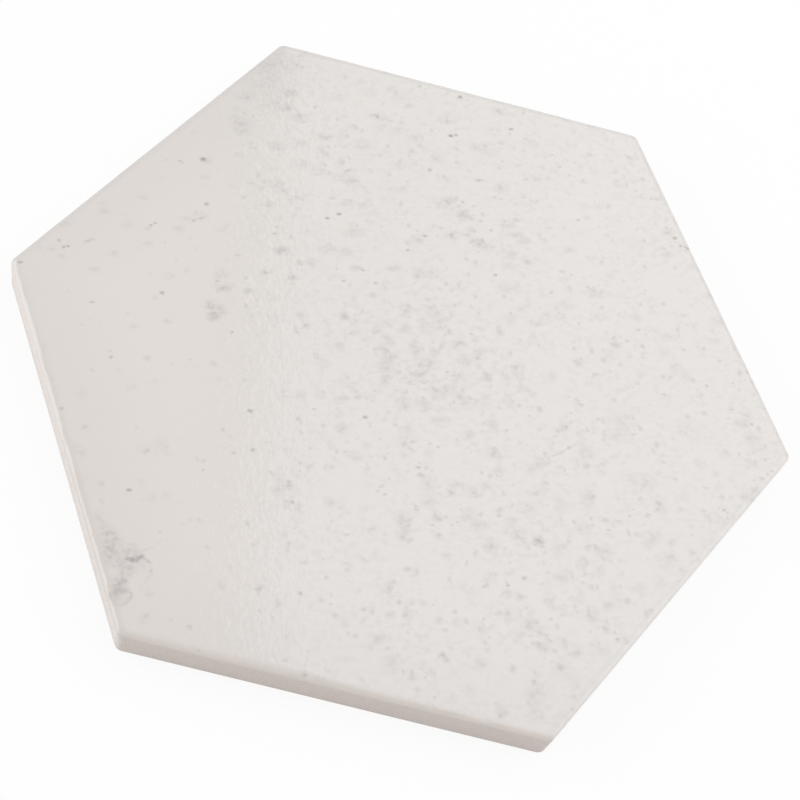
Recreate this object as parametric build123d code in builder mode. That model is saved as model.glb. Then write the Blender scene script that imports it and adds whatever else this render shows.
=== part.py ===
from build123d import *
import os
from math import cos, floor, radians, sqrt

# A hexagonal porcelain floor tile with a cushioned, glazed face and a keyed back.
# It lies flat, glazed face up, with two corners on the X axis and one side facing -Y.
# The origin is the middle of the back. Lengths are in millimetres.

# Outline, seen from above
across_flats = 150.0
corner_radius = 2.0

# Section through a side: back bevel, upright wall, crisp edge, curved margin of the face
thickness = 9.0
cushion_width = 2.2
cushion_drop = 0.75
back_bevel = 0.4

# Keying relief pressed into the back: a honeycomb of shallow pockets inside a flat rim
rim_width = 6.0
pocket_across_flats = 11.8
rib_width = 2.5
pocket_depth = 0.7
pocket_draft = 25.0  # degrees, for release from the punch

# Values that follow from the sizes above
side_count = 6
inradius = across_flats / 2
across_corners = across_flats / cos(radians(30))
edge_height = thickness - cushion_drop
cushion_radius = (cushion_width**2 + cushion_drop**2) / (2 * cushion_drop)

pocket_pitch = pocket_across_flats + rib_width
pocket_circumradius = pocket_across_flats / sqrt(3)
row_spacing = pocket_pitch * cos(radians(30))
rings = floor((inradius - rim_width - pocket_circumradius) / row_spacing)

# The pockets stand on a triangular grid that fills a hexagon turned the same way as the tile
pocket_centres = [
    (pocket_pitch * (column + row / 2), row_spacing * row)
    for row in range(-rings, rings + 1)
    for column in range(-rings, rings + 1)
    if abs(column + row) <= rings
]

# A long bar with the tile's section across two opposite sides.
# The arcs of the margin leave the flat face without a break and end at a crisp edge on the wall.
with BuildPart() as section_bar:
    with BuildSketch(Plane.YZ):
        with BuildLine():
            back = Line((0, 0), (inradius - back_bevel, 0))
            bevel = Line(back @ 1, (inradius, back_bevel))
            wall = Line(bevel @ 1, (inradius, edge_height))
            margin = RadiusArc(wall @ 1, (inradius - cushion_width, thickness), -cushion_radius)
            face = Line(margin @ 1, (0, thickness))
            mirror(about=Plane.YZ)
        make_face()
    extrude(amount=across_corners, both=True)

# Three such bars, crossed at 60 degrees, leave the hexagon with the margin mitred at its corners
with BuildPart() as hexagon_tile:
    with BuildSketch() as outline:
        RegularPolygon(inradius, side_count, major_radius=False)
        fillet(outline.vertices(), corner_radius)
    extrude(amount=thickness)
    for turn in (0, 60, 120):
        add(section_bar.part, rotation=(0, 0, turn), mode=Mode.INTERSECT)
    with BuildSketch():
        with Locations(*pocket_centres):
            RegularPolygon(pocket_across_flats / 2, side_count, major_radius=False, rotation=30)
    extrude(amount=pocket_depth, taper=pocket_draft, mode=Mode.SUBTRACT)

hexagon_tile.part.label = "hexagon_tile"

os.makedirs("parts", exist_ok=True)
export_step(hexagon_tile.part, "parts/hexagon_tile.step")
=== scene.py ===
from math import atan2, ceil, cos, floor, pi, radians, sin, sqrt, tan

import bmesh
import bpy
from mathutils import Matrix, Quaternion, Vector, noise
from mathutils.geometry import delaunay_2d_cdt


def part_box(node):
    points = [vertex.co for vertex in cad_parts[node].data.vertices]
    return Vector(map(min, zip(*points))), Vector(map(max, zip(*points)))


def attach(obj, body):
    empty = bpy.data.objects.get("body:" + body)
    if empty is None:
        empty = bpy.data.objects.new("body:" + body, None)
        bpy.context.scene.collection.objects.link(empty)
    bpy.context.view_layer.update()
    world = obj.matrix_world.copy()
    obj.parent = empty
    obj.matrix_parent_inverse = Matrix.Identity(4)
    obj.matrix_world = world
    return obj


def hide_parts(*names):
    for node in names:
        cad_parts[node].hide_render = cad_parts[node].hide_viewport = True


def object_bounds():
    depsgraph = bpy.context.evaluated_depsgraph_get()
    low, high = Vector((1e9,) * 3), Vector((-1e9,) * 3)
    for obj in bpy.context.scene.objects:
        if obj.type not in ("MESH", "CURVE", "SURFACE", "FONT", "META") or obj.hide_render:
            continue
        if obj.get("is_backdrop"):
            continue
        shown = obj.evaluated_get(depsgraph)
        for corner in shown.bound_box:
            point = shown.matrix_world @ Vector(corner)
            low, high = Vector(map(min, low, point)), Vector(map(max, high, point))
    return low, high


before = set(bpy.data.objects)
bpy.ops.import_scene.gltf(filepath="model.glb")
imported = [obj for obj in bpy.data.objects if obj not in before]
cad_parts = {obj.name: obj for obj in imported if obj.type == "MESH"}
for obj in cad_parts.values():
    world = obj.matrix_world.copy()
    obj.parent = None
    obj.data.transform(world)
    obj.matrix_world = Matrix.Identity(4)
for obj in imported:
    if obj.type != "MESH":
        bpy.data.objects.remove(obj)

cad_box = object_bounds()

# Sizes are in millimetres and become metres where a mesh or an object is placed
MM = 0.001

# The tile's outline and thickness come from the frame, its section and back repeat the solid's sizes
TILE_NODE = "hexagon_tile"
tile_low, tile_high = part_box(TILE_NODE)
INRADIUS = (tile_high.y - tile_low.y) / 2 / MM
THICKNESS = tile_high.z / MM
CORNER_RADIUS = 2.0
CUSHION_WIDTH = 2.2
CUSHION_DROP = 0.75
BACK_BEVEL = 0.4
RIM_WIDTH = 6.0
POCKET_ACROSS_FLATS = 11.8
RIB_WIDTH = 2.5
POCKET_DEPTH = 0.7
POCKET_DRAFT = radians(25)
POCKET_TURN = radians(30)

# Fine relief that the solid leaves out: eased edges, and a crease that sways by this much over this length
EDGE_ROUND = 0.22
POCKET_CORNER = 0.9
CREASE_SWAY = 0.08
SWAY_LENGTH = 4.0
SWAY_SEED = 1.7

# How finely the mesh is cut
CORNER_STEPS = 10
SIDE_STEPS = 84
CUSHION_STEPS = 9
ROUND_STEPS = 4
WALL_STEPS = 6
FACE_SPACING = 2.4
POCKET_CORNER_STEPS = 3
SHARP_ANGLE = radians(24)
# A face of the back whose middle is nearer to a pocket's centre than this share of its inradius is in it
POCKET_SHARE = 0.99
MERGE_DISTANCE = 1e-6

# The camera, as the photograph's outline of the tile gives it
CAMERA_AZIMUTH = radians(-4.25)
CAMERA_ELEVATION = radians(59.89)
CAMERA_ROLL = radians(17.84)
CAMERA_DISTANCE = 385.95
CAMERA_TARGET = Vector((-13.96, 5.78, 0.0))
FOCAL_LENGTH = 78.82
SENSOR_WIDTH = 36.0
IMAGE_SIZE = 800
# The clip range is in metres
CLIP_NEAR = 0.01
CLIP_FAR = 50.0
# The outline fits better with the lens axis off the middle, as in a crop. This pixel is a choice that keeps
# the shift small
AXIS_COLUMN, AXIS_ROW = 340, 340

COS30 = cos(radians(30))
SIN30 = 0.5
PIXEL = CAMERA_DISTANCE * SENSOR_WIDTH / FOCAL_LENGTH / IMAGE_SIZE


def camera_axes():
    """The camera's place in millimetres and its turn."""
    back = Vector((
        sin(CAMERA_AZIMUTH) * cos(CAMERA_ELEVATION),
        -cos(CAMERA_AZIMUTH) * cos(CAMERA_ELEVATION),
        sin(CAMERA_ELEVATION),
    ))
    turn = back.to_track_quat("Z", "Y") @ Quaternion((0, 0, 1), CAMERA_ROLL)
    place = CAMERA_TARGET + back * CAMERA_DISTANCE
    return place, turn


def make_camera():
    place, turn = camera_axes()
    data = bpy.data.cameras.new("photo_camera")
    data.sensor_width = SENSOR_WIDTH
    data.lens = FOCAL_LENGTH
    data.shift_x = 0.5 - AXIS_COLUMN / IMAGE_SIZE
    data.shift_y = AXIS_ROW / IMAGE_SIZE - 0.5
    data.clip_start = CLIP_NEAR
    data.clip_end = CLIP_FAR
    camera = bpy.data.objects.new("photo_camera", data)
    camera.rotation_mode = "QUATERNION"
    camera.rotation_quaternion = turn
    camera.location = place * MM
    bpy.context.scene.collection.objects.link(camera)
    bpy.context.scene.camera = camera


def on_face(pixel):
    """The point of the tile's face, in millimetres, that a pixel of the photograph shows."""
    place, turn = camera_axes()
    pixel_size = SENSOR_WIDTH / FOCAL_LENGTH / IMAGE_SIZE
    right = (pixel[0] - AXIS_COLUMN) * pixel_size
    up = (AXIS_ROW - pixel[1]) * pixel_size
    ray = turn @ Vector((right, up, -1))
    return place + ray * (THICKNESS - place.z) / ray.z


# Mesh

# Until the glaze is shared out, all glazed faces have the first material
GLAZE_SLOT = 0


def hexagon_loop(inradius, corner_radius, corner_steps, side_steps, turn=0.0):
    """A hexagon with round corners as points, anticlockwise from the corner on the X axis."""
    arcs = []
    for corner in range(6):
        middle = radians(60 * corner) + turn
        centre = Vector((cos(middle), sin(middle))) * ((inradius - corner_radius) / COS30)
        arc = []
        for step in range(corner_steps + 1):
            angle = middle + radians(60 * step / corner_steps - 30)
            arc.append(centre + Vector((cos(angle), sin(angle))) * corner_radius)
        arcs.append(arc)
    points = []
    for corner, arc in enumerate(arcs):
        points += arc
        start, end = arc[-1], arcs[(corner + 1) % 6][0]
        points += [start.lerp(end, step / side_steps) for step in range(1, side_steps)]
    return points


def section_points():
    """The section from the flat face outward and down to the back: inset from the wall, and height."""
    radius = (CUSHION_WIDTH**2 + CUSHION_DROP**2) / (2 * CUSHION_DROP)
    edge = THICKNESS - CUSHION_DROP
    slope = atan2(CUSHION_WIDTH, radius - CUSHION_DROP)
    last = slope - EDGE_ROUND / radius
    glazed = []
    for step in range(CUSHION_STEPS + 1):
        angle = last * step / CUSHION_STEPS
        glazed.append((CUSHION_WIDTH - radius * sin(angle), THICKNESS - radius * (1 - cos(angle))))
    # The crisp edge is eased by a small curve from the glaze to the wall
    start, knee, end = Vector(glazed[-1]), Vector((0, edge)), Vector((0, edge - EDGE_ROUND))
    for step in range(1, ROUND_STEPS + 1):
        t = step / ROUND_STEPS
        glazed.append(tuple(start.lerp(knee, t).lerp(knee.lerp(end, t), t)))
    bare = []
    for step in range(1, WALL_STEPS + 1):
        bare.append((0.0, end.y + (BACK_BEVEL - end.y) * step / WALL_STEPS))
    bare.append((BACK_BEVEL, 0.0))
    return glazed, bare


def waver(point, size, amount, seed):
    """A smooth unevenness of about the given size across and amount in height."""
    return noise.noise(Vector((point.x / size, point.y / size, seed))) * amount


def pocket_centres():
    pitch = POCKET_ACROSS_FLATS + RIB_WIDTH
    row_spacing = pitch * COS30
    rings = floor((INRADIUS - RIM_WIDTH - POCKET_ACROSS_FLATS / sqrt(3)) / row_spacing)
    for row in range(-rings, rings + 1):
        for column in range(-rings, rings + 1):
            if abs(column + row) <= rings:
                yield Vector((pitch * (column + row / 2), row_spacing * row))


def inside_points(spacing, inradius):
    """A triangular grid of points inside a hexagon of the tile's own turn."""
    rows = ceil(inradius / (spacing * COS30))
    columns = ceil(2 * inradius / spacing)
    for row in range(-rows, rows + 1):
        for column in range(-columns, columns + 1):
            point = Vector((spacing * (column + row / 2), spacing * COS30 * row))
            reach = max(abs(point.y), *(abs(point.y / 2 + side * point.x * COS30) for side in (-1, 1)))
            if reach < inradius:
                yield point


def fill_flat(mesh, loops, extra, height, material, keep):
    """Triangles between closed loops of vertices, on one level, with extra points among them."""
    vertices = [vertex for loop in loops for vertex in loop]
    flat = [Vector((vertex.co.x, vertex.co.y)) / MM for vertex in vertices] + extra
    edges = []
    first = 0
    for loop in loops:
        count = len(loop)
        edges += [(first + i, first + (i + 1) % count) for i in range(count)]
        first += count
    places, _, faces, origins, _, _ = delaunay_2d_cdt(flat, edges, [], 1, MERGE_DISTANCE)
    made = []
    for place, origin in zip(places, origins):
        if origin and origin[0] < len(vertices):
            made.append(vertices[origin[0]])
        else:
            made.append(mesh.verts.new((place.x * MM, place.y * MM, height(place) * MM)))
    for face in faces:
        middle = sum((places[i] for i in face), Vector((0, 0))) / len(face)
        if keep(middle):
            mesh.faces.new([made[i] for i in face]).material_index = material


def bridge(mesh, outer, inner, material):
    count = len(outer)
    for i in range(count):
        j = (i + 1) % count
        mesh.faces.new((outer[i], outer[j], inner[j], inner[i])).material_index = material


def add_loop(mesh, points, height):
    return [mesh.verts.new((p.x * MM, p.y * MM, height(p) * MM)) for p in points]


def add_sides(mesh, body_slot):
    """The glazed margin and the bare wall. Gives the loops of points where the face and the back begin."""
    glazed, bare = section_points()
    crease = THICKNESS - CUSHION_DROP
    loops = []
    for inset, level in glazed + bare:
        points = hexagon_loop(INRADIUS - inset, CORNER_RADIUS, CORNER_STEPS, SIDE_STEPS)
        sway = CREASE_SWAY if abs(level - crease) < 2 * EDGE_ROUND else 0.0
        loops.append(add_loop(mesh, points, lambda p: level + waver(p, SWAY_LENGTH, sway, SWAY_SEED)))
    for index in range(len(loops) - 1):
        material = GLAZE_SLOT if index < len(glazed) - 1 else body_slot
        bridge(mesh, loops[index + 1], loops[index], material)
    return loops[0], loops[-1]


def add_face(mesh, outline):
    margin = CUSHION_WIDTH + FACE_SPACING / 2
    grid = list(inside_points(FACE_SPACING, INRADIUS - margin))
    fill_flat(mesh, [outline], grid, lambda p: THICKNESS, GLAZE_SLOT, lambda p: True)


def add_back(mesh, outline, body_slot):
    """The back, with pockets whose walls lean for release from the punch."""
    inradius = POCKET_ACROSS_FLATS / 2
    lean = POCKET_DEPTH * tan(POCKET_DRAFT)
    rim_shade_and_line = []
    centres = list(pocket_centres())
    for centre in centres:
        rings = []
        for inset, level in ((0.0, 0.0), (lean, POCKET_DEPTH)):
            loop = hexagon_loop(inradius - inset, POCKET_CORNER, POCKET_CORNER_STEPS, 1, POCKET_TURN)
            rings.append(add_loop(mesh, [centre + p for p in loop], lambda p: level))
        bridge(mesh, rings[0], rings[1], body_slot)
        mesh.faces.new(rings[1]).material_index = body_slot
        rim_shade_and_line.append(rings[0])

    def between_pockets(p):
        return all((p - centre).length > inradius * POCKET_SHARE for centre in centres)

    fill_flat(mesh, [outline] + rim_shade_and_line, [], lambda p: 0.0, body_slot, between_pockets)


def share_out_glaze(mesh):
    """Each glazed face takes the glaze of the wedge that it lies in."""
    for face in mesh.faces:
        if face.material_index == GLAZE_SLOT:
            middle = face.calc_center_median()
            face.material_index = next(w for w in range(WEDGES) if in_wedge(w, middle))


def make_tile(glazes, body):
    """The fired tile: glazed face and margin, bare wall, and the back with its keying pockets."""
    body_slot = len(glazes)
    mesh = bmesh.new()
    face_outline, back_outline = add_sides(mesh, body_slot)
    add_face(mesh, face_outline)
    add_back(mesh, back_outline, body_slot)
    share_out_glaze(mesh)
    bmesh.ops.recalc_face_normals(mesh, faces=mesh.faces)
    data = bpy.data.meshes.new("tile")
    mesh.to_mesh(data)
    mesh.free()
    for material in glazes + [body]:
        data.materials.append(material)
    data.shade_smooth()
    data.set_sharp_from_angle(angle=SHARP_ANGLE)
    tile = bpy.data.objects.new("tile", data)
    bpy.context.scene.collection.objects.link(tile)
    return tile


# Materials

# Scattered spots, in shares: the smallest radius, the least darkness and the evenly dark core
LEAST_SIZE = 0.4
LEAST_DARKNESS = 0.3
CORE_SHARE = 0.2


class Nodes:
    """A material's node tree, with short calls for the nodes that are used here."""

    def __init__(self, name):
        self.material = bpy.data.materials.new(name)
        self.material.use_nodes = True
        self.tree = self.material.node_tree
        self.shader = self.tree.nodes["Principled BSDF"]

    def put(self, socket, value):
        if isinstance(value, bpy.types.NodeSocket):
            self.tree.links.new(value, socket)
        else:
            socket.default_value = value

    def math(self, operation, *values, clamp=False):
        node = self.tree.nodes.new("ShaderNodeMath")
        node.operation = operation
        node.use_clamp = clamp
        for socket, value in zip(node.inputs, values):
            self.put(socket, value)
        return node.outputs[0]

    def vector(self, operation, *values):
        node = self.tree.nodes.new("ShaderNodeVectorMath")
        node.operation = operation
        for socket, value in zip(node.inputs, values):
            self.put(socket, value)
        return node.outputs["Value"] if operation in ("DISTANCE", "DOT_PRODUCT") else node.outputs[0]

    def scale(self, vector, amount):
        node = self.tree.nodes.new("ShaderNodeVectorMath")
        node.operation = "SCALE"
        self.put(node.inputs[0], vector)
        self.put(node.inputs["Scale"], amount)
        return node.outputs[0]

    def turned(self, vector, angle, scale):
        """The vector turned about Z by the angle, then scaled along the turned axes."""
        node = self.tree.nodes.new("ShaderNodeMapping")
        self.put(node.inputs["Vector"], vector)
        node.inputs["Rotation"].default_value = (0, 0, -angle)
        return self.vector("MULTIPLY", node.outputs[0], scale)

    def warped(self, vector, size, amount):
        """The vector shifted by up to about the amount, both in millimetres, in a random smooth way."""
        node = self.tree.nodes.new("ShaderNodeTexNoise")
        self.put(node.inputs["Vector"], vector)
        node.inputs["Scale"].default_value = 1 / size
        node.inputs["Detail"].default_value = 1.0
        shift = self.vector("SUBTRACT", node.outputs["Color"], (0.5, 0.5, 0.5))
        return self.vector("ADD", vector, self.vector("MULTIPLY", shift, (2 * amount, 2 * amount, 0)))

    def scatter(self, vector, cell, share, radius):
        """Soft spots of random size and darkness in a share of the cells of a random grid."""
        node = self.tree.nodes.new("ShaderNodeTexVoronoi")
        self.put(node.inputs["Vector"], vector)
        node.inputs["Scale"].default_value = 1 / cell
        chance, size, darkness = self.split(node.outputs["Color"])
        reach = self.math("MULTIPLY_ADD", size, radius / cell, LEAST_SIZE * radius / cell)
        spots = self.ramp(self.math("DIVIDE", node.outputs["Distance"], reach), CORE_SHARE, 1.0, 1.0, 0.0)
        shade = self.math("MULTIPLY_ADD", darkness, 1 - LEAST_DARKNESS, LEAST_DARKNESS)
        spots = self.math("MULTIPLY", spots, shade)
        return self.math("MULTIPLY", spots, self.math("LESS_THAN", chance, share))

    def place(self):
        """The point on the piece in millimetres."""
        node = self.tree.nodes.new("ShaderNodeTexCoord")
        return self.vector("MULTIPLY", node.outputs["Object"], (1 / MM,) * 3)

    def split(self, vector):
        node = self.tree.nodes.new("ShaderNodeSeparateXYZ")
        self.put(node.inputs[0], vector)
        return node.outputs

    def noise(self, vector, size, detail=2.0, roughness=0.5):
        """Noise from 0 to 1 whose blobs are about size millimetres across."""
        node = self.tree.nodes.new("ShaderNodeTexNoise")
        self.put(node.inputs["Vector"], vector)
        node.inputs["Scale"].default_value = 1 / size
        node.inputs["Detail"].default_value = detail
        node.inputs["Roughness"].default_value = roughness
        return node.outputs["Fac"]

    def ramp(self, value, low, high, start=0.0, end=1.0):
        """A smooth step from start to end as the value goes from low to high."""
        node = self.tree.nodes.new("ShaderNodeMapRange")
        node.interpolation_type = "SMOOTHSTEP"
        self.put(node.inputs["Value"], value)
        node.inputs["From Min"].default_value = low
        node.inputs["From Max"].default_value = high
        node.inputs["To Min"].default_value = start
        node.inputs["To Max"].default_value = end
        return node.outputs["Result"]

    def mix(self, amount, first, second):
        node = self.tree.nodes.new("ShaderNodeMix")
        node.data_type = "RGBA"
        self.put(node.inputs["Factor"], amount)
        self.put(node.inputs["A"], first if isinstance(first, bpy.types.NodeSocket) else (*first, 1))
        self.put(node.inputs["B"], second if isinstance(second, bpy.types.NodeSocket) else (*second, 1))
        return node.outputs["Result"]

    def bump(self, height, distance, below=None):
        node = self.tree.nodes.new("ShaderNodeBump")
        node.inputs["Distance"].default_value = distance * MM
        self.put(node.inputs["Height"], height)
        if below is not None:
            self.put(node.inputs["Normal"], below)
        return node.outputs["Normal"]


GLAZE_COLOUR = (0.755, 0.711, 0.680)
GLAZE_LESS_LIT = (0.733, 0.699, 0.6705)
GLAZE_MORE_LIT = (0.756, 0.720, 0.695)
PRINT_AND_SHADE_GREY = (0.44, 0.42, 0.405)
FLECK_AND_SHADE_GREY = (0.185, 0.165, 0.160)
THIN_GLAZE_AND_SHADE = (0.68, 0.605, 0.55)
EDGE_GREY = (0.62, 0.585, 0.56)
BODY_COLOUR = (0.70, 0.632, 0.59)
BODY_DARK = (0.56, 0.475, 0.43)
BODY_LIGHT = (0.80, 0.735, 0.69)

# The print's grain runs along the photograph's rows, and marks are drawn out along it
GRAIN_FROM = (360, 400)
GRAIN_TO = (440, 400)
grain_step = on_face(GRAIN_TO) - on_face(GRAIN_FROM)
GRAIN_ANGLE = atan2(grain_step.y, grain_step.x)
GRAIN_STRETCH = 1.35
FAR_STRETCH = 1.7
FAR_PARTS = ("upper_left", "upper_middle", "upper_right")

# Ranges below are low and high, ramps are low, high, and the amounts there

# How the print's marks waver: size and amount of each warp
DRIFT_SLOW = (2.4, 0.8)
DRIFT_FINE = (0.9, 0.25)
RAGGED_SLOW = (1.0, 0.28)
RAGGED_FINE = (0.4, 0.16)
VEIN_SLOW = (1.6, 0.35)
VEIN_FINE = (0.5, 0.15)

# The print grows dense from left to right, across a line that leans
DENSITY_LEAN = 0.25
DENSITY_RANGE = (-55.0, -5.0)
DENSITY_SHARE = (0.0, 1.0, 0.06, 0.5)
BROAD_SIZE = 14.0
BROAD_RANGE = (0.3, 0.7)
CLUSTER_SIZE = 4.5
CLUSTER_RANGE = (0.3, 0.72)

# It is most crowded around this pixel
CROWDED_MIDDLE = (425, 350)
CROWDED_SHARE = (6.0, 26.0, 0.35, 0.0)

# Marks scattered by noise
SPOT_CELL = 1.7
SPOT_RADIUS = 0.8
SPOT_STRENGTH = 0.34
HAZE_SIZE = 1.4
HAZE_RANGE = (0.4, 0.75)
HAZE_STRENGTH = 0.28
SPECK_CELL = 2.9
SPECK_SHARE = 0.06
SPECK_RADIUS = 0.34
SPECK_STRENGTH = 0.22
DOT_SIZE = 0.34
DOT_RANGE = (0.3, 0.7)
DOT_STRENGTH = 0.05

# Marks placed one by one: those fainter than FAINT are clouds, the others flecks
FAINT = 0.26
CLOUD_PEAK = 0.95
FLECK_PEAK = 1.25
DARK_SPREAD = 0.95
INK_SIZE = 1.0
CLOUD_INK = (0.32, 0.68, 0.35, 1.4)
VEIN_INK = (0.3, 0.6, 0.6, 1.15)

# Painted light: the glaze is painted lighter from the first of these pixels to the second, as more light
# falls and shows toward the right
PAINTED_LIGHT_FROM = (228, 298)
PAINTED_LIGHT_TO = (503, 461)

# The margins: how uneven the glaze is, and ramps over the distance from the front, left or far left side,
# for painted shade near them, a thin glaze mixed with painted shade, and grey rims of painted shade
UNEVEN_SIZE = 1.2
UNEVEN_AMOUNT = 0.8
UNEVEN_LEFT = 0.4
NEAR_SHADE = (0.0, 24.0, 0.1, 0.0)
FRONT_THIN_AND_SHADE = (0.1, 1.7, 0.8, 0.0)
LEFT_THIN_AND_SHADE_RISE = (0.6, 0.95)
LEFT_THIN_AND_SHADE_FALL = (1.0, 2.0, 0.55, 0.0)
LEFT_LINE = (0.3, 0.55, 1.0, 0.0)
LEFT_RIM_SHADE = (0.5, 2.8, 0.38, 0.0)
FAR_RIM_SHADE = (0.3, 2.4, 0.8, 0.0)

# The band of thin glaze and painted shade, and the line along the left side, fade toward the back, over
# this range of Y
BACKWARD = (-60.0, -8.0)
THIN_AND_SHADE_FADE = (0.0, 1.0, 1.0, 0.45)
LINE_FADE = (0.0, 1.0, 0.95, 0.1)

# Gloss and relief of the glaze
GLAZE_IOR = 1.57
GLAZE_ROUGHNESS = (0.3, 0.7, 0.02, 0.03)
PEEL_SIZE = 0.85
PEEL_STRETCH = 1.6
PEEL_DEPTH = 0.036
WAVE_SIZE = 2.4
WAVE_DEPTH = 0.030

# The bare body: patches, grains, painted light on the left wall, and painted shade darker toward the foot
BODY_NOISE_ROUGHNESS = 0.65
PATCH_SIZE = 2.2
PATCH_DARK = (0.4, 0.8, 0.0, 0.2)
BODY_GRAIN_SIZE = 0.5
BODY_GRAIN_DARK = (0.3, 0.5, 0.5, 0.0)
BODY_GRAIN_LIGHT = (0.53, 0.7, 0.0, 0.6)
BODY_GRAIN_DEPTH = 0.06
LEFT_WALL_PAINTED_LIGHT = (0.0, 1.0, 0.7, 0.0)
FOOT_PAINTED_SHADE = (0.2, 1.4, 0.4, 0.0)
BODY_ROUGHNESS = (0.2, 0.8, 0.7, 0.85)
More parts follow.
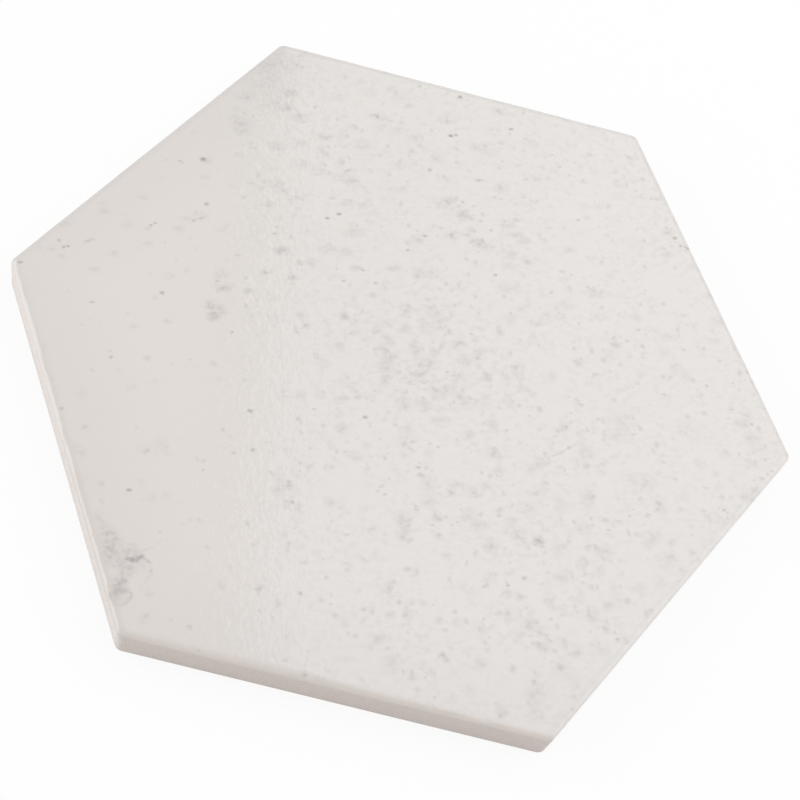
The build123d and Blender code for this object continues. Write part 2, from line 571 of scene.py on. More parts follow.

# Spots of the stone-effect print, with three of painted shade, placed in the photograph's pixels:
# column, row, half height and darkness
SPOTS = {
    "upper_left": [
        (203, 159, 3.4, 0.62), (206, 160, 3.0, 0.20), (180, 161, 2.4, 0.28), (167, 159, 2.0, 0.12),
        (239, 155, 2.6, 0.20), (253, 147, 2.0, 0.15), (204, 177, 2.6, 0.12), (207, 204, 3.4, 0.36),
        (194, 221, 2.0, 0.36), (200, 219, 2.2, 0.20), (203, 216, 2.8, 0.17), (195, 212, 2.6, 0.14),
        (187, 220, 3.6, 0.14), (151, 225, 2.0, 0.38), (155, 223, 2.0, 0.38), (148, 228, 1.7, 0.18),
        (127, 225, 2.8, 0.16), (104, 212, 2.8, 0.18), (66, 224, 2.8, 0.25), (59, 240, 2.2, 0.35),
        (64, 247, 2.2, 0.42), (68, 246, 2.2, 0.42), (50, 249, 2.0, 0.20), (88, 241, 1.8, 0.24),
        (93, 240, 1.8, 0.24), (61, 256, 1.9, 0.14), (20, 262, 3.0, 0.62), (114, 254, 3.0, 0.15),
        (94, 270, 2.6, 0.14), (179, 229, 3.4, 0.16), (148, 244, 3.0, 0.13), (220, 229, 2.6, 0.12),
        (162, 293, 2.8, 0.44), (156, 298, 2.0, 0.16), (92, 302, 2.4, 0.28), (170, 277, 2.8, 0.15),
        (187, 271, 2.2, 0.13), (222, 275, 4.2, 0.14), (217, 281, 2.8, 0.27), (223, 288, 4.0, 0.22),
        (229, 286, 3.4, 0.15), (248, 290, 2.2, 0.19), (212, 305, 4.5, 0.22), (217, 311, 5.0, 0.24),
        (214, 317, 3.6, 0.22), (232, 332, 2.4, 0.32), (167, 321, 2.4, 0.17), (132, 325, 2.2, 0.13),
        (236, 118, 3.6, 0.13), (242, 123, 5.0, 0.18), (243, 131, 4.6, 0.15), (236, 109, 2.2, 0.13),
        (246, 97, 5.5, 0.13), (238, 255, 2.0, 0.18), (266, 272, 2.8, 0.24), (144, 197, 2.6, 0.12),
        (102, 203, 2.6, 0.10), (195, 132, 2.6, 0.10), (252, 183, 1.8, 0.16), (232, 188, 2.2, 0.12),
    ],
    "upper_middle": [
        # Painted shade: the first three spots here darken the face near the far left corner, where shade
        # falls; they are not print
        (278, 64, 9.0, 0.09), (268, 84, 9.0, 0.09), (262, 66, 7.0, 0.08), (291, 93, 3.4, 0.22),
        (287, 108, 3.0, 0.22), (275, 104, 6.0, 0.10), (298, 117, 4.0, 0.14), (460, 97, 3.2, 0.52),
        (451, 136, 3.0, 0.60), (456, 135, 2.2, 0.40), (511, 129, 2.8, 0.42), (408, 107, 1.9, 0.22),
        (375, 117, 2.6, 0.20), (383, 118, 2.4, 0.14), (380, 127, 2.2, 0.16), (325, 136, 2.8, 0.20),
        (338, 135, 1.8, 0.16), (354, 127, 2.2, 0.17), (327, 218, 2.7, 0.47), (339, 214, 3.0, 0.47),
        (425, 236, 2.6, 0.37), (408, 250, 2.4, 0.32), (408, 242, 2.0, 0.20), (418, 239, 2.6, 0.20),
        (452, 235, 3.2, 0.25), (466, 233, 2.0, 0.22), (474, 240, 3.2, 0.16), (480, 243, 3.6, 0.18),
        (486, 247, 3.2, 0.16), (491, 230, 2.6, 0.27), (472, 230, 2.4, 0.16), (463, 202, 2.2, 0.26),
        (463, 212, 2.8, 0.22), (467, 218, 3.0, 0.20), (430, 170, 2.8, 0.30), (498, 111, 3.0, 0.17),
        (480, 180, 1.8, 0.22), (274, 234, 2.6, 0.26), (281, 250, 3.6, 0.22), (292, 277, 2.5, 0.24),
        (344, 281, 2.3, 0.27), (376, 283, 2.5, 0.27), (363, 270, 2.5, 0.27), (355, 268, 2.3, 0.22),
        (393, 268, 3.0, 0.20), (496, 275, 2.3, 0.34), (348, 171, 2.4, 0.20), (302, 143, 3.0, 0.16),
        (318, 172, 3.4, 0.14), (302, 164, 4.0, 0.12), (345, 177, 4.4, 0.12), (352, 183, 3.6, 0.11),
        (363, 146, 4.0, 0.12), (397, 131, 3.6, 0.13), (416, 139, 3.0, 0.14), (398, 165, 4.0, 0.10),
        (396, 190, 3.0, 0.13), (365, 204, 3.0, 0.14), (347, 204, 3.0, 0.13), (444, 203, 4.4, 0.13),
        (450, 198, 3.0, 0.12), (355, 232, 4.4, 0.11), (328, 248, 4.0, 0.15), (345, 253, 4.0, 0.13),
        (310, 262, 3.0, 0.16), (424, 273, 4.6, 0.14), (487, 152, 4.0, 0.11), (476, 147, 3.4, 0.13),
        (501, 188, 3.4, 0.18), (437, 158, 3.2, 0.14), (278, 146, 3.6, 0.15), (276, 184, 3.6, 0.15),
        (283, 192, 3.0, 0.13), (294, 199, 3.0, 0.13), (268, 204, 3.0, 0.14), (400, 98, 3.6, 0.10),
        (392, 88, 3.0, 0.12), (368, 92, 4.0, 0.09), (338, 98, 3.0, 0.10), (446, 119, 4.0, 0.12),
    ],
    "upper_right": [
        (529, 144, 3.6, 0.15), (560, 167, 2.2, 0.30), (553, 171, 2.4, 0.20), (541, 168, 1.7, 0.20),
        (534, 179, 2.8, 0.18), (629, 158, 2.0, 0.20), (634, 158, 2.0, 0.22), (651, 199, 1.7, 0.26),
        (655, 198, 1.7, 0.22), (620, 185, 2.6, 0.14), (618, 197, 3.4, 0.10), (578, 220, 2.6, 0.37),
        (587, 218, 2.0, 0.17), (607, 234, 1.9, 0.13), (675, 238, 3.2, 0.58), (668, 233, 2.8, 0.22),
        (681, 246, 1.9, 0.55), (685, 247, 1.9, 0.55), (688, 248, 1.8, 0.50), (664, 248, 2.3, 0.27),
        (666, 255, 2.8, 0.20), (692, 265, 2.0, 0.20), (570, 250, 2.7, 0.24), (523, 241, 3.2, 0.22),
        (515, 235, 3.0, 0.22), (506, 225, 3.4, 0.22), (551, 293, 2.4, 0.34), (587, 287, 2.6, 0.27),
        (594, 293, 4.0, 0.20), (600, 294, 3.4, 0.14), (509, 266, 3.2, 0.19), (510, 255, 3.4, 0.16),
        (529, 261, 3.4, 0.15), (709, 295, 2.6, 0.22), (635, 317, 2.6, 0.17), (597, 316, 2.8, 0.18),
        (591, 320, 1.6, 0.20), (638, 330, 2.5, 0.30), (627, 341, 2.6, 0.27), (535, 323, 3.4, 0.18),
        (720, 322, 4.2, 0.16), (714, 341, 2.6, 0.22), (654, 330, 2.2, 0.17), (683, 316, 2.4, 0.17),
        (508, 288, 5.0, 0.14), (564, 306, 3.6, 0.14), (545, 317, 2.6, 0.14), (616, 345, 2.6, 0.24),
        (612, 341, 2.6, 0.14), (668, 337, 4.0, 0.14), (510, 318, 4.0, 0.15), (520, 308, 3.4, 0.12),
        (634, 244, 6.0, 0.06), (584, 206, 3.0, 0.11), (598, 206, 2.6, 0.11),
    ],
    "left": [
        (111, 357, 2.3, 0.30), (111, 352, 2.2, 0.13), (147, 357, 2.6, 0.20), (213, 363, 3.0, 0.20),
        (219, 379, 2.2, 0.12), (61, 408, 2.6, 0.36), (250, 411, 3.2, 0.46), (253, 450, 3.0, 0.38),
        (234, 453, 2.4, 0.26), (85, 427, 2.6, 0.20), (223, 429, 2.3, 0.19), (83, 454, 3.0, 0.20),
        (162, 445, 6.0, 0.11), (145, 449, 5.5, 0.06), (169, 453, 3.4, 0.08), (197, 459, 2.4, 0.17),
        (204, 460, 2.2, 0.15), (129, 490, 2.7, 0.52), (102, 483, 3.2, 0.15), (141, 482, 2.6, 0.14),
        (152, 498, 4.4, 0.10), (166, 496, 3.4, 0.07), (102, 502, 2.2, 0.15), (200, 520, 2.6, 0.20),
        (246, 523, 2.6, 0.19), (207, 547, 2.2, 0.17), (182, 523, 2.2, 0.12), (134, 386, 3.8, 0.09),
        (127, 389, 2.8, 0.10), (155, 381, 3.4, 0.07), (82, 393, 5.0, 0.08), (280, 479, 5.5, 0.13),
        (289, 485, 5.0, 0.24), (279, 490, 5.0, 0.14), (286, 505, 4.0, 0.16), (44, 345, 4.0, 0.08),
        (50, 378, 5.0, 0.07), (76, 447, 5.0, 0.08), (80, 481, 5.0, 0.08), (231, 569, 3.0, 0.10),
    ],
    "left_patch": [
        (103, 524, 4.0, 0.13), (107, 534, 4.6, 0.15), (114, 534, 3.6, 0.14), (104, 543, 4.4, 0.13),
        (112, 544, 4.4, 0.14), (119, 541, 3.4, 0.16), (129, 547, 3.4, 0.15), (106, 553, 4.4, 0.16),
        (114, 553, 4.0, 0.16), (124, 553, 4.0, 0.12), (110, 562, 4.4, 0.12), (118, 562, 4.0, 0.13),
        (128, 569, 3.6, 0.24), (124, 576, 3.6, 0.24), (120, 583, 3.8, 0.24), (116, 590, 4.0, 0.22),
        (112, 581, 4.0, 0.14), (112, 597, 3.4, 0.17), (136, 556, 5.0, 0.15), (145, 618, 3.0, 0.19),
        (149, 594, 2.6, 0.13), (119, 603, 3.6, 0.10), (127, 596, 3.0, 0.11), (141, 566, 5.0, 0.08),
        (98, 516, 4.0, 0.09),
    ],
    "middle": [
        (292, 502, 2.7, 0.46), (298, 419, 2.7, 0.32), (314, 409, 2.0, 0.30), (365, 417, 2.9, 0.52),
        (342, 428, 4.2, 0.22), (339, 400, 2.8, 0.22), (346, 398, 2.4, 0.20), (340, 414, 3.2, 0.12),
        (355, 456, 4.4, 0.19), (346, 453, 2.6, 0.22), (331, 446, 2.8, 0.17), (368, 446, 3.2, 0.12),
        (418, 467, 2.7, 0.42), (426, 468, 2.0, 0.22), (421, 475, 4.2, 0.30), (430, 481, 4.2, 0.17),
        (428, 489, 3.2, 0.12), (430, 444, 1.8, 0.32), (438, 447, 1.9, 0.42), (430, 452, 3.4, 0.16),
        (385, 494, 2.3, 0.32), (300, 463, 1.7, 0.22), (309, 467, 2.4, 0.22), (402, 518, 5.4, 0.22),
        (406, 526, 3.6, 0.17), (437, 515, 3.6, 0.22), (432, 525, 1.9, 0.27), (458, 522, 2.1, 0.30),
        (446, 517, 1.9, 0.27), (372, 529, 3.2, 0.20), (341, 506, 2.3, 0.17), (328, 502, 3.8, 0.15),
        (300, 508, 3.8, 0.17), (507, 430, 1.9, 0.37), (493, 425, 3.8, 0.20), (530, 416, 1.9, 0.27),
        (519, 405, 2.4, 0.27), (487, 378, 3.4, 0.22), (458, 397, 3.2, 0.24), (434, 389, 3.2, 0.22),
        (446, 390, 4.2, 0.22), (420, 376, 4.6, 0.24), (428, 363, 5.4, 0.19), (385, 366, 5.2, 0.22),
        (391, 358, 4.2, 0.19), (383, 350, 4.8, 0.17), (416, 347, 4.8, 0.20), (416, 355, 3.2, 0.17),
        (435, 352, 3.4, 0.20), (460, 344, 4.6, 0.22), (466, 360, 4.8, 0.20), (460, 376, 3.8, 0.18),
        (472, 334, 2.1, 0.27), (450, 334, 1.9, 0.22), (377, 330, 3.4, 0.24), (405, 329, 4.2, 0.20),
        (406, 311, 4.8, 0.17), (430, 309, 4.4, 0.17), (344, 316, 3.4, 0.22), (355, 332, 2.6, 0.20),
        (339, 346, 3.4, 0.19), (306, 326, 2.8, 0.24), (297, 330, 2.4, 0.22), (317, 354, 2.8, 0.17),
        (500, 331, 3.2, 0.20), (532, 341, 3.8, 0.15), (499, 516, 2.8, 0.32), (475, 492, 4.4, 0.20),
        (487, 486, 3.6, 0.22), (452, 493, 2.6, 0.22), (520, 536, 5.0, 0.18), (491, 546, 4.6, 0.22),
        (500, 471, 3.2, 0.16), (493, 453, 4.4, 0.20), (429, 502, 4.8, 0.17), (401, 535, 4.2, 0.16),
        (538, 541, 4.2, 0.22), (440, 322, 5.0, 0.15), (425, 325, 4.6, 0.15), (389, 323, 3.2, 0.17),
        (388, 339, 4.2, 0.15), (383, 381, 3.8, 0.18), (404, 404, 5.0, 0.15), (424, 405, 4.6, 0.17),
        (440, 421, 4.4, 0.17), (408, 430, 4.6, 0.14), (404, 443, 4.6, 0.18), (403, 455, 3.0, 0.17),
        (465, 404, 3.6, 0.17), (485, 402, 4.0, 0.13), (508, 396, 3.2, 0.16), (521, 388, 3.6, 0.14),
        (518, 370, 4.6, 0.17), (520, 378, 3.2, 0.16), (532, 395, 3.0, 0.18), (454, 484, 3.4, 0.18),
        (470, 435, 3.4, 0.14), (480, 355, 4.2, 0.14), (505, 375, 3.0, 0.12), (470, 517, 6.0, 0.13),
        (480, 525, 4.0, 0.15), (510, 525, 4.2, 0.16), (530, 508, 5.0, 0.12), (530, 470, 5.0, 0.13),
        (348, 384, 3.4, 0.16), (355, 391, 2.6, 0.16), (320, 394, 4.0, 0.12), (300, 396, 4.0, 0.16),
        (324, 364, 4.0, 0.13), (302, 316, 3.2, 0.18),
    ],
    "right": [
        (542, 547, 2.0, 0.32), (558, 431, 3.8, 0.30), (564, 428, 2.8, 0.22), (567, 425, 2.2, 0.20),
        (598, 419, 2.2, 0.32), (571, 413, 2.2, 0.27), (579, 401, 2.0, 0.27), (595, 374, 3.2, 0.27),
        (578, 363, 3.6, 0.20), (551, 377, 4.2, 0.14), (684, 350, 2.4, 0.32), (720, 361, 2.3, 0.37),
        (707, 386, 2.1, 0.44), (733, 383, 1.9, 0.32), (739, 372, 2.8, 0.22), (735, 348, 2.6, 0.22),
        (732, 409, 2.4, 0.24), (749, 415, 2.8, 0.19), (752, 424, 2.5, 0.46), (741, 424, 3.8, 0.22),
        (750, 437, 3.8, 0.18), (725, 453, 3.2, 0.16), (754, 463, 2.4, 0.20), (748, 460, 2.2, 0.16),
        (773, 471, 2.3, 0.38), (768, 474, 2.2, 0.27), (716, 474, 2.8, 0.18), (724, 510, 2.5, 0.42),
        (755, 490, 3.2, 0.17), (747, 497, 4.2, 0.15), (630, 516, 2.3, 0.30), (648, 515, 3.4, 0.30),
        (606, 520, 3.8, 0.27), (609, 530, 2.5, 0.35), (584, 529, 4.8, 0.20), (590, 495, 3.8, 0.20),
        (587, 503, 3.8, 0.19), (587, 466, 2.4, 0.22), (584, 453, 4.4, 0.17), (605, 462, 2.8, 0.18),
        (562, 548, 3.6, 0.22), (588, 548, 2.8, 0.22), (654, 538, 3.8, 0.19), (648, 545, 3.8, 0.19),
        (673, 543, 2.8, 0.22), (672, 556, 4.4, 0.17), (692, 552, 2.8, 0.18), (583, 563, 3.8, 0.22),
        (604, 552, 4.8, 0.20), (630, 480, 5.5, 0.10), (646, 482, 6.5, 0.12), (686, 376, 5.0, 0.11),
        (677, 369, 4.6, 0.13), (640, 374, 3.4, 0.14), (608, 357, 4.4, 0.14), (664, 352, 3.8, 0.14),
        (690, 430, 9.0, 0.07), (620, 420, 9.0, 0.08), (620, 435, 6.0, 0.08), (600, 470, 4.0, 0.14),
        (540, 462, 5.0, 0.15), (543, 490, 4.0, 0.13), (560, 506, 4.4, 0.14), (660, 505, 5.4, 0.11),
        (700, 465, 4.0, 0.13), (720, 520, 4.4, 0.12), (664, 562, 6.0, 0.11), (560, 578, 4.4, 0.14),
        (540, 540, 3.4, 0.18), (760, 445, 7.0, 0.07),
    ],
    "lower_middle": [
        (408, 569, 4.2, 0.30), (416, 571, 2.6, 0.17), (393, 582, 4.0, 0.27), (388, 589, 3.4, 0.22),
        (399, 602, 3.6, 0.30), (412, 602, 2.2, 0.22), (422, 602, 2.0, 0.22), (433, 605, 1.8, 0.27),
        (406, 607, 1.8, 0.22), (390, 616, 2.8, 0.22), (455, 612, 3.4, 0.30), (439, 619, 3.2, 0.22),
        (458, 623, 3.2, 0.16), (447, 556, 2.8, 0.19), (477, 554, 2.0, 0.22), (484, 587, 2.3, 0.38),
        (508, 585, 2.5, 0.50), (524, 578, 3.4, 0.44), (510, 572, 2.6, 0.24), (506, 593, 3.2, 0.22),
        (521, 597, 4.8, 0.27), (550, 600, 4.2, 0.24), (499, 613, 4.8, 0.27), (509, 616, 3.4, 0.22),
        (530, 625, 4.8, 0.22), (551, 619, 2.2, 0.32), (545, 634, 3.8, 0.24), (485, 643, 2.2, 0.32),
        (447, 661, 3.4, 0.27), (442, 657, 2.4, 0.22), (432, 672, 2.6, 0.22), (387, 648, 2.3, 0.38),
        (391, 664, 5.4, 0.19), (376, 640, 3.8, 0.22), (411, 679, 2.6, 0.24), (480, 664, 4.4, 0.18),
        (513, 669, 2.8, 0.24), (534, 681, 2.4, 0.30), (535, 698, 4.8, 0.19), (535, 715, 5.4, 0.14),
        (501, 712, 3.8, 0.20), (470, 690, 3.2, 0.18), (452, 700, 3.2, 0.14), (618, 639, 2.6, 0.44),
        (606, 629, 2.4, 0.24), (590, 613, 4.8, 0.22), (608, 605, 4.4, 0.16), (574, 652, 4.8, 0.20),
        (563, 643, 4.4, 0.15), (614, 590, 3.4, 0.15), (568, 574, 3.4, 0.18), (562, 670, 6.0, 0.12),
        (575, 680, 6.0, 0.10), (540, 690, 9.0, 0.07), (600, 650, 5.0, 0.12), (408, 613, 3.0, 0.18),
        (480, 630, 4.0, 0.14), (517, 635, 4.0, 0.16), (544, 648, 4.0, 0.15), (600, 570, 3.4, 0.14),
        (640, 590, 4.4, 0.14), (660, 582, 4.0, 0.14), (620, 600, 4.0, 0.12), (490, 577, 4.0, 0.14),
        (470, 593, 4.0, 0.12),
    ],
    "lower_left": [
        (304, 675, 3.0, 0.37), (198, 650, 1.9, 0.27), (285, 659, 2.6, 0.22), (257, 590, 3.4, 0.24),
        (261, 587, 2.6, 0.17), (222, 584, 3.2, 0.22), (300, 593, 2.6, 0.32), (278, 603, 2.8, 0.22),
        (327, 577, 2.6, 0.27), (258, 611, 2.0, 0.22), (336, 616, 3.4, 0.22), (345, 622, 4.4, 0.13),
        (363, 609, 3.4, 0.27), (370, 648, 2.6, 0.20), (360, 590, 2.4, 0.17), (320, 600, 3.4, 0.13),
        (329, 670, 2.6, 0.15), (304, 562, 3.0, 0.22), (362, 680, 2.6, 0.16), (290, 545, 3.4, 0.20),
    ],
}

# In each part of the face, how strongly the faint and the dark spots show, and how far faint ones spread
STRENGTH = {
    "upper_left": (1.0, 1.0, 1.7),
    "upper_middle": (1.2, 1.2, 2.1),
    "upper_right": (0.85, 0.8, 2.1),
    "left": (1.0, 1.0, 1.6),
    "left_patch": (1.1, 1.0, 2.2),
    "middle": (1.0, 0.85, 2.1),
    "right": (0.95, 0.7, 2.2),
    "lower_middle": (0.85, 0.68, 2.2),
    "lower_left": (0.95, 0.85, 1.6),
}

# Veins, as strokes in the same pixels: both ends, width and darkness
VEINS = [
    (128, 559, 136, 560, 3.2, 0.60),
    (137, 558, 142, 557, 3.2, 0.54),
    (143, 558, 149, 562, 2.4, 0.24),
    (120, 564, 128, 560, 2.8, 0.26),
    (113, 593, 126, 590, 5.0, 0.26),
    (111, 595, 114, 600, 4.6, 0.26),
    (126, 591, 132, 594, 2.2, 0.20),
    (132, 594, 131, 598, 2.2, 0.22),
    (131, 598, 125, 604, 2.0, 0.16),
    (125, 604, 116, 605, 2.0, 0.14),
    (141, 552, 147, 549, 2.2, 0.10),
    (147, 549, 153, 547, 2.0, 0.08),
    (149, 562, 152, 568, 2.0, 0.08),
    (152, 568, 152, 574, 2.0, 0.10),
    (152, 574, 146, 581, 2.0, 0.10),
    (146, 581, 140, 590, 2.0, 0.07),
    (553, 456, 561, 453, 1.8, 0.17),
    (561, 453, 569, 448, 1.8, 0.18),
    (569, 448, 576, 444, 1.6, 0.13),
]

# One material can't hold every mark, so each wedge of the face has the same glaze with its own marks
WEDGES = 6
WEDGE_OVERLAP = 6.0


def in_wedge(wedge, point, margin=0.0):
    """Whether a point lies between two neighbouring corners' directions, or within a margin of that."""
    first = Vector((cos(radians(60 * wedge)), sin(radians(60 * wedge))))
    second = Vector((cos(radians(60 * wedge + 60)), sin(radians(60 * wedge + 60))))
    flat = Vector((point.x, point.y))
    return first.cross(flat) >= -margin and flat.cross(second) >= -margin


def spots_of(wedge, faint):
    """The wedge's faint or dark spots: part of the face, place on it, radius and darkness."""
    for part, spots in SPOTS.items():
        faint_strength, dark_strength, faint_spread = STRENGTH[part]
        strength, spread = (faint_strength, faint_spread) if faint else (dark_strength, DARK_SPREAD)
        for column, row, half_height, darkness in spots:
            centre = on_face((column, row))
            if (darkness < FAINT) == faint and in_wedge(wedge, centre, WEDGE_OVERLAP):
                radius = spread * half_height * PIXEL
                yield part, Vector((centre.x, centre.y, 0)), radius, darkness * strength


def along_grain(point, stretch):
    """The point in the grain's own axes, with lengths along the grain cut down by the stretch."""
    turned = Quaternion((0, 0, 1), -GRAIN_ANGLE) @ point
    return turned.x / stretch, turned.y, 0


def clouds(nodes, place, wedge):
    """Faint spots as wide soft clouds, drawn out in the far part, that add up where they meet."""
    drawn_out = nodes.turned(place, GRAIN_ANGLE, (1 / FAR_STRETCH, 1, 1))
    total = 0.0
    for part, centre, radius, darkness in spots_of(wedge, faint=True):
        if part in FAR_PARTS:
            distance = nodes.vector("DISTANCE", drawn_out, along_grain(centre, FAR_STRETCH))
        else:
            distance = nodes.vector("DISTANCE", place, centre)
        peak = CLOUD_PEAK * darkness
        cloud = nodes.math("MULTIPLY_ADD", distance, -peak / radius, peak, clamp=True)
        total = nodes.math("ADD", cloud, total)
    return total


def dark_flecks(nodes, place, wedge):
    """Dark spots as small flecks drawn out along the grain."""
    darkest = 0.0
    for _, centre, radius, darkness in spots_of(wedge, faint=False):
        distance = nodes.vector("DISTANCE", place, along_grain(centre, GRAIN_STRETCH))
        peak = FLECK_PEAK * darkness
        fleck = nodes.math("MULTIPLY_ADD", distance, -peak / radius, peak)
        darkest = nodes.math("MAXIMUM", fleck, darkest)
    return darkest


def dark_veins(nodes, place, wedge):
    darkest = 0.0
    for left, top, right, bottom, width, darkness in VEINS:
        start, end = on_face((left, top)), on_face((right, bottom))
        if in_wedge(wedge, start, WEDGE_OVERLAP):
            along = end - start
            offset = nodes.vector("SUBTRACT", place, (start.x, start.y, 0))
            reach = nodes.vector("DOT_PRODUCT", offset, (along.x, along.y, 0))
            reach = nodes.math("MULTIPLY", reach, 1 / along.length_squared, clamp=True)
            nearest = nodes.scale((along.x, along.y, 0), reach)
            distance = nodes.vector("DISTANCE", offset, nearest)
            vein = nodes.math("MULTIPLY_ADD", distance, -darkness / (width * PIXEL), darkness)
            darkest = nodes.math("MAXIMUM", vein, darkest)
    return darkest


def way_along(nodes, place, start, end):
    """How far a place lies on the way from one point to another, where 0 and 1 are the points."""
    along = end - start
    offset = nodes.vector("SUBTRACT", place, (start.x, start.y, 0))
    way = nodes.vector("DOT_PRODUCT", offset, (along.x, along.y, 0))
    return nodes.math("MULTIPLY", way, 1 / (along.x**2 + along.y**2))


def crowding(nodes, flat, x, y):
    """The print's density across the face, its clusters, and the share of spots that both give."""
    across = nodes.math("ADD", x, nodes.math("MULTIPLY", y, DENSITY_LEAN))
    density = nodes.ramp(across, *DENSITY_RANGE)
    broad = nodes.noise(flat, BROAD_SIZE)
    clusters = nodes.noise(flat, CLUSTER_SIZE)
    crowd = nodes.math("ADD", nodes.ramp(clusters, *CLUSTER_RANGE), nodes.ramp(broad, *BROAD_RANGE))
    share = nodes.math("MULTIPLY", crowd, nodes.ramp(density, *DENSITY_SHARE))
    middle = on_face(CROWDED_MIDDLE)
    from_middle = nodes.vector("DISTANCE", flat, (middle.x, middle.y, 0))
    share = nodes.math("ADD", share, nodes.ramp(from_middle, *CROWDED_SHARE))
    return density, clusters, share


def scattered_marks(nodes, drift, streaked, ragged, density, share):
    """Soft spots, haze, small specks and fine dots, which fill the print between the placed marks."""
    spots = nodes.scatter(drift, SPOT_CELL, share, SPOT_RADIUS)
    haze = nodes.ramp(nodes.noise(streaked, HAZE_SIZE, detail=3.0), *HAZE_RANGE)
    haze = nodes.math("MULTIPLY", haze, share)
    specks = nodes.scatter(ragged, SPECK_CELL, SPECK_SHARE, SPECK_RADIUS)
    dots = nodes.ramp(nodes.noise(streaked, DOT_SIZE, detail=1.0), *DOT_RANGE)
    dots = nodes.math("MULTIPLY", dots, density)
    return spots, haze, specks, dots


def placed_marks(nodes, flat, drift, streaked, ragged, wedge):
    """The placed clouds, and the darker flecks and veins. Ink breaks up into grains where it is thin."""
    ink = nodes.noise(streaked, INK_SIZE)
    cloudy = nodes.math("MULTIPLY", clouds(nodes, drift, wedge), nodes.ramp(ink, *CLOUD_INK))
    veins = dark_veins(nodes, nodes.warped(nodes.warped(flat, *VEIN_SLOW), *VEIN_FINE), wedge)
    veins = nodes.math("MULTIPLY", veins, nodes.ramp(ink, *VEIN_INK))
    dark = nodes.math("MAXIMUM", dark_flecks(nodes, ragged, wedge), veins)
    return cloudy, dark


def thinned(nodes, colour, place, x, y):
    """The colour with painted shade toward the near sides, a thinner glaze mixed with painted shade over
    the near margins, where the warm body shows, and grey rims of painted shade.
    """
    uneven = nodes.noise(place, UNEVEN_SIZE, detail=3.0)
    uneven = nodes.math("MULTIPLY_ADD", uneven, UNEVEN_AMOUNT, -UNEVEN_AMOUNT / 2)
    left_part = nodes.math("MULTIPLY", x, COS30)
    front = nodes.math("ADD", y, INRADIUS)
    left = nodes.math("ADD", nodes.math("MULTIPLY_ADD", y, SIN30, left_part), INRADIUS)
    far_left = nodes.math("ADD", nodes.math("MULTIPLY_ADD", y, -SIN30, left_part), INRADIUS)
    nearest = nodes.math("MINIMUM", nodes.math("MINIMUM", front, left), far_left)
    # Painted shade: the glaze is darkened toward the front, left and far left sides, where less light falls
    colour = nodes.mix(nodes.ramp(nearest, *NEAR_SHADE), colour, PRINT_AND_SHADE_GREY)
    # Thin glaze and painted shade: the front and left margins are painted darker and warmer, partly as a
    # thin glaze over the body, partly as shade
    front_thin_and_shade = nodes.ramp(nodes.math("ADD", front, uneven), *FRONT_THIN_AND_SHADE)
    left_uneven = nodes.math("MULTIPLY_ADD", uneven, UNEVEN_LEFT, left)
    toward_back = nodes.ramp(y, *BACKWARD)
    left_thin_and_shade = nodes.ramp(left_uneven, *LEFT_THIN_AND_SHADE_FALL)
    left_thin_and_shade = nodes.math("MULTIPLY", nodes.ramp(left_uneven, *LEFT_THIN_AND_SHADE_RISE), left_thin_and_shade)
    left_thin_and_shade = nodes.math("MULTIPLY", left_thin_and_shade, nodes.ramp(toward_back, *THIN_AND_SHADE_FADE))
    colour = nodes.mix(nodes.math("MAXIMUM", front_thin_and_shade, left_thin_and_shade), colour, THIN_GLAZE_AND_SHADE)
    left_line = nodes.ramp(left_uneven, *LEFT_LINE)
    left_line = nodes.math("MULTIPLY", left_line, nodes.ramp(toward_back, *LINE_FADE))
    # Painted shade: grey rims along the left and far left cushions; the line along the left glaze edge is
    # mixed in with them
    left_rim_shade = nodes.ramp(left_uneven, *LEFT_RIM_SHADE)
    far_rim_shade = nodes.ramp(far_left, *FAR_RIM_SHADE)
    rim_shade_and_line = nodes.math("MAXIMUM", nodes.math("MAXIMUM", left_rim_shade, far_rim_shade), left_line)
    return nodes.mix(rim_shade_and_line, colour, EDGE_GREY)


def glaze_relief(nodes, place):
    """Orange peel, drawn out across the grain, over the slow waves of the melted glaze."""
    peel_place = nodes.turned(place, GRAIN_ANGLE, (1, 1 / PEEL_STRETCH, 1))
    peel = nodes.noise(peel_place, PEEL_SIZE, detail=1.0)
    waves = nodes.noise(place, WAVE_SIZE, detail=1.0)
    return nodes.bump(peel, PEEL_DEPTH, nodes.bump(waves, WAVE_DEPTH))


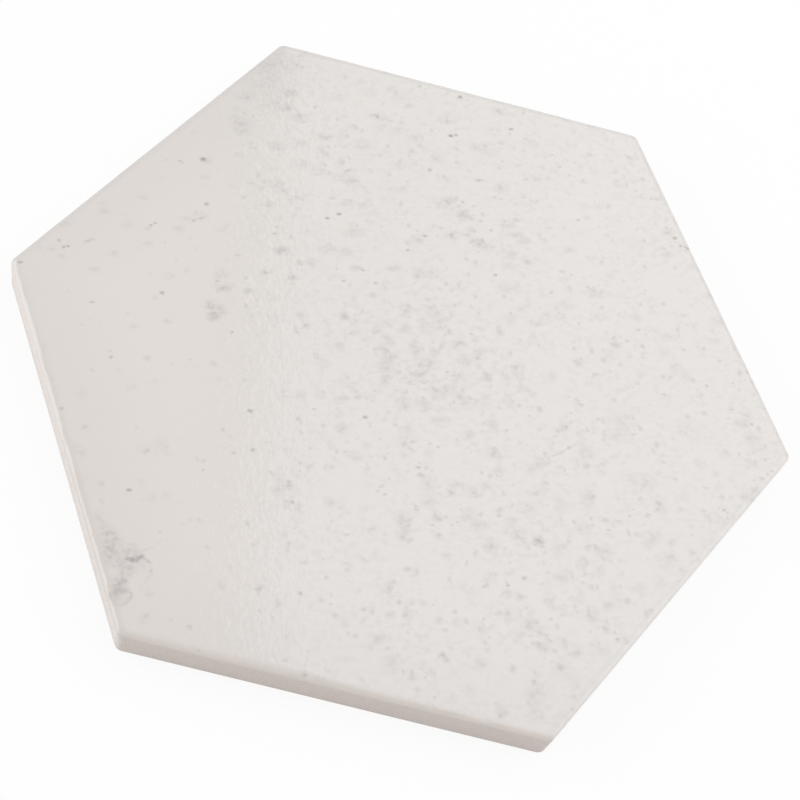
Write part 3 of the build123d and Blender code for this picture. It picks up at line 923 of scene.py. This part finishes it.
def make_glaze(wedge):
    """The glaze with the print of one wedge."""
    nodes = Nodes(f"glaze_{wedge}")
    place = nodes.place()
    flat = nodes.vector("MULTIPLY", place, (1, 1, 0))
    x, y, _ = nodes.split(place)
    grain = nodes.turned(flat, GRAIN_ANGLE, (1 / GRAIN_STRETCH, 1, 1))
    drift = nodes.warped(nodes.warped(flat, *DRIFT_SLOW), *DRIFT_FINE)
    streaked = nodes.turned(drift, GRAIN_ANGLE, (1 / GRAIN_STRETCH, 1, 1))
    ragged = nodes.warped(nodes.warped(grain, *RAGGED_SLOW), *RAGGED_FINE)

    density, clusters, share = crowding(nodes, flat, x, y)
    spots, haze, specks, dots = scattered_marks(nodes, drift, streaked, ragged, density, share)
    cloudy, dark = placed_marks(nodes, flat, drift, streaked, ragged, wedge)

    # Painted light: a less lit and a more lit copy of the glaze colour, blended across the face
    painted_light = nodes.ramp(way_along(nodes, flat, on_face(PAINTED_LIGHT_FROM), on_face(PAINTED_LIGHT_TO)), 0.0, 1.0)
    colour = nodes.mix(density, GLAZE_COLOUR, nodes.mix(painted_light, GLAZE_LESS_LIT, GLAZE_MORE_LIT))
    colour = nodes.mix(nodes.math("MULTIPLY", dots, DOT_STRENGTH), colour, PRINT_AND_SHADE_GREY)
    colour = nodes.mix(nodes.math("MULTIPLY", haze, HAZE_STRENGTH), colour, PRINT_AND_SHADE_GREY)
    colour = nodes.mix(nodes.math("MULTIPLY", spots, SPOT_STRENGTH), colour, PRINT_AND_SHADE_GREY)
    colour = nodes.mix(nodes.math("MULTIPLY", specks, SPECK_STRENGTH), colour, FLECK_AND_SHADE_GREY)
    colour = nodes.mix(cloudy, colour, FLECK_AND_SHADE_GREY)
    colour = nodes.mix(dark, colour, FLECK_AND_SHADE_GREY)
    colour = thinned(nodes, colour, place, x, y)
    normal = glaze_relief(nodes, place)

    shader = nodes.shader
    shader.inputs["IOR"].default_value = GLAZE_IOR
    nodes.put(shader.inputs["Base Color"], colour)
    nodes.put(shader.inputs["Roughness"], nodes.ramp(clusters, *GLAZE_ROUGHNESS))
    nodes.put(shader.inputs["Normal"], normal)
    return nodes.material


def make_body():
    """The bare fired body of the sides and the back."""
    nodes = Nodes("bare_body")
    place = nodes.place()
    x, y, height = nodes.split(place)
    patches = nodes.noise(place, PATCH_SIZE, detail=3.0, roughness=BODY_NOISE_ROUGHNESS)
    grains = nodes.noise(place, BODY_GRAIN_SIZE, roughness=BODY_NOISE_ROUGHNESS)
    colour = nodes.mix(nodes.ramp(patches, *PATCH_DARK), BODY_COLOUR, BODY_DARK)
    left = nodes.math("MULTIPLY_ADD", y, SIN30, nodes.math("MULTIPLY_ADD", x, COS30, INRADIUS))
    # Painted light: the left wall, which the left softbox lights, is painted lighter toward the glaze's
    # colour
    colour = nodes.mix(nodes.ramp(left, *LEFT_WALL_PAINTED_LIGHT), colour, GLAZE_COLOUR)
    colour = nodes.mix(nodes.ramp(grains, *BODY_GRAIN_DARK), colour, BODY_DARK)
    colour = nodes.mix(nodes.ramp(grains, *BODY_GRAIN_LIGHT), colour, BODY_LIGHT)
    # Painted shade: the walls grow darker toward the bottom, where they meet the floor
    colour = nodes.mix(nodes.ramp(height, *FOOT_PAINTED_SHADE), colour, BODY_DARK)
    normal = nodes.bump(grains, BODY_GRAIN_DEPTH)
    shader = nodes.shader
    nodes.put(shader.inputs["Base Color"], colour)
    nodes.put(shader.inputs["Roughness"], nodes.ramp(grains, *BODY_ROUGHNESS))
    nodes.put(shader.inputs["Normal"], normal)
    return nodes.material


# Studio

# The studio is in metres
WORLD_LEVEL = 0.49
FLOOR_HALF = 12.0
FLOOR_WHITE = 0.94
FLOOR_GLOW = 0.88
AIM = (0.0, 0.0, 0.0)

# The overhead lamp's left edge, which is reflected across the face, is placed by its middle and its turn
OVERHEAD_EDGE = Vector((-0.0387, 0.45, 0.70))
OVERHEAD_TURN = radians(10.15)
OVERHEAD_SIZE = (1.2, 1.6)
OVERHEAD_RADIANCE = 0.95
LEFT_PLACE = (-0.87, -0.06, 0.40)
LEFT_SIZE = (1.2, 0.65)
LEFT_RADIANCE = 2.1
RIGHT_PLACE = (0.95, -0.02, 0.42)
RIGHT_SIZE = (0.8, 0.6)
RIGHT_RADIANCE = 1.15


def seen_rays(tree):
    """1 for the rays that see the background directly, in a reflection or through glass, else 0."""
    path = tree.nodes.new("ShaderNodeLightPath")
    total = tree.nodes.new("ShaderNodeVectorMath")
    total.operation = "DOT_PRODUCT"
    total.inputs[1].default_value = (1, 1, 1)
    kinds = tree.nodes.new("ShaderNodeCombineXYZ")
    for socket, kind in zip(kinds.inputs, ("Is Camera Ray", "Is Glossy Ray", "Is Transmission Ray")):
        tree.links.new(path.outputs[kind], socket)
    tree.links.new(kinds.outputs[0], total.inputs[0])
    capped = tree.nodes.new("ShaderNodeMath")
    capped.operation = "MINIMUM"
    capped.inputs[1].default_value = 1.0
    tree.links.new(total.outputs["Value"], capped.inputs[0])
    return capped.outputs[0]


def make_floor():
    half = FLOOR_HALF
    corners = [(-half, -half, 0), (half, -half, 0), (half, half, 0), (-half, half, 0)]
    data = bpy.data.meshes.new("floor")
    data.from_pydata(corners, [], [(0, 1, 2, 3)])
    floor_object = bpy.data.objects.new("floor", data)
    bpy.context.scene.collection.objects.link(floor_object)
    material = bpy.data.materials.new("floor")
    material.use_nodes = True
    tree = material.node_tree
    tree.nodes.clear()
    output = tree.nodes.new("ShaderNodeOutputMaterial")
    diffuse = tree.nodes.new("ShaderNodeBsdfDiffuse")
    diffuse.inputs["Color"].default_value = (FLOOR_WHITE, FLOOR_WHITE, FLOOR_WHITE, 1)
    white = tree.nodes.new("ShaderNodeEmission")
    white.inputs["Strength"].default_value = 1.0
    share = tree.nodes.new("ShaderNodeMath")
    share.operation = "MULTIPLY"
    tree.links.new(seen_rays(tree), share.inputs[0])
    share.inputs[1].default_value = FLOOR_GLOW
    mix = tree.nodes.new("ShaderNodeMixShader")
    tree.links.new(share.outputs[0], mix.inputs["Fac"])
    tree.links.new(diffuse.outputs[0], mix.inputs[1])
    tree.links.new(white.outputs[0], mix.inputs[2])
    tree.links.new(mix.outputs[0], output.inputs["Surface"])
    data.materials.append(material)
    floor_object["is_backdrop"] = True


def make_world():
    world = bpy.data.worlds.new("studio")
    bpy.context.scene.world = world
    world.use_nodes = True
    tree = world.node_tree
    background = tree.nodes["Background"]
    strength = tree.nodes.new("ShaderNodeMapRange")
    tree.links.new(seen_rays(tree), strength.inputs["Value"])
    strength.inputs["To Min"].default_value = WORLD_LEVEL
    strength.inputs["To Max"].default_value = 1.0
    tree.links.new(strength.outputs[0], background.inputs["Strength"])
    background.inputs["Color"].default_value = (1, 1, 1, 1)


def make_softbox(name, centre, aim, size, radiance, spin=0.0):
    """A rectangular lamp, in metres, that faces aim and shines with the given radiance."""
    data = bpy.data.lights.new(name, "AREA")
    data.shape = "RECTANGLE"
    data.size, data.size_y = size
    data.energy = radiance * pi * size[0] * size[1]
    lamp = bpy.data.objects.new(name, data)
    lamp.location = centre
    away = Vector(centre) - Vector(aim)
    lamp.rotation_mode = "QUATERNION"
    lamp.rotation_quaternion = away.to_track_quat("Z", "Y") @ Quaternion((0, 0, 1), spin)
    bpy.context.scene.collection.objects.link(lamp)


def light_studio():
    """A softbox overhead, whose edge shows in the glaze, and one to each side."""
    across = Vector((cos(OVERHEAD_TURN), sin(OVERHEAD_TURN), 0.0))
    overhead = OVERHEAD_EDGE + across * OVERHEAD_SIZE[0] / 2
    foot = Vector((overhead.x, overhead.y, 0.0))
    make_softbox("overhead_softbox", overhead, foot, OVERHEAD_SIZE, OVERHEAD_RADIANCE, OVERHEAD_TURN)
    make_softbox("left_softbox", LEFT_PLACE, AIM, LEFT_SIZE, LEFT_RADIANCE)
    make_softbox("right_softbox", RIGHT_PLACE, AIM, RIGHT_SIZE, RIGHT_RADIANCE)


make_camera()
make_floor()
make_world()
light_studio()

tile = make_tile([make_glaze(wedge) for wedge in range(WEDGES)], make_body())
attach(tile, "root")
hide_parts(TILE_NODE)

bpy.context.scene.view_settings.view_transform = "Standard"

visual_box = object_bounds()
boxes = {"cad": cad_box, "visual": visual_box}
{name: [list(corner) for corner in box] for name, box in boxes.items()}
